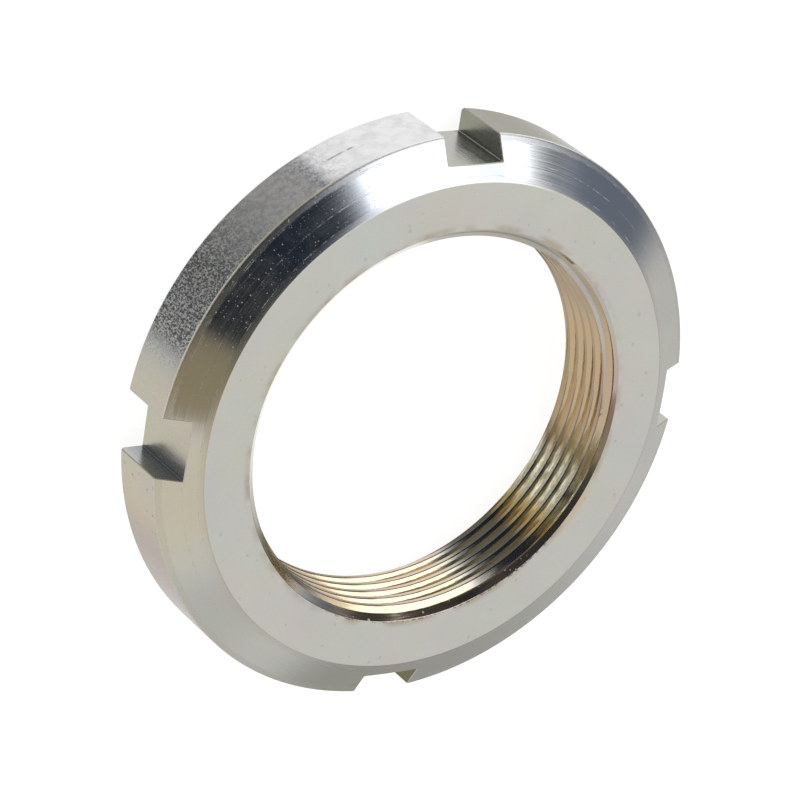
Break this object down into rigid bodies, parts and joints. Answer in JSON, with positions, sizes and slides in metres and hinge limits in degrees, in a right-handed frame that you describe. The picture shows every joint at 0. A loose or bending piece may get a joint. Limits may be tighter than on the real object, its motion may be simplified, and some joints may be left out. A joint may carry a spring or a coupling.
{
  "type": "bearing lock nut",
  "caption": "Round steel lock nut with a fine M40 x 1.5 internal thread, a wide chamfer round its bearing face and spanner slots across its rim.",
  "frame": {"origin": "centre of the back face, on the axis of the bore; the nut lies flat on it", "axes": "+Z along the bore, from the back face to the chamfered bearing face; +X and +Y through the middles of two spanner slots"},
  "size_m": [0.0576, 0.0576, 0.009],
  "materials": {
    "zinc_plate": "steel, zinc plated with a clear, faintly iridescent passivation; turned grooves on the chamfer"
  },
  "bodies": {
    "root": {"lock_nut": "zinc_plate"}
  },
  "joints": []
}
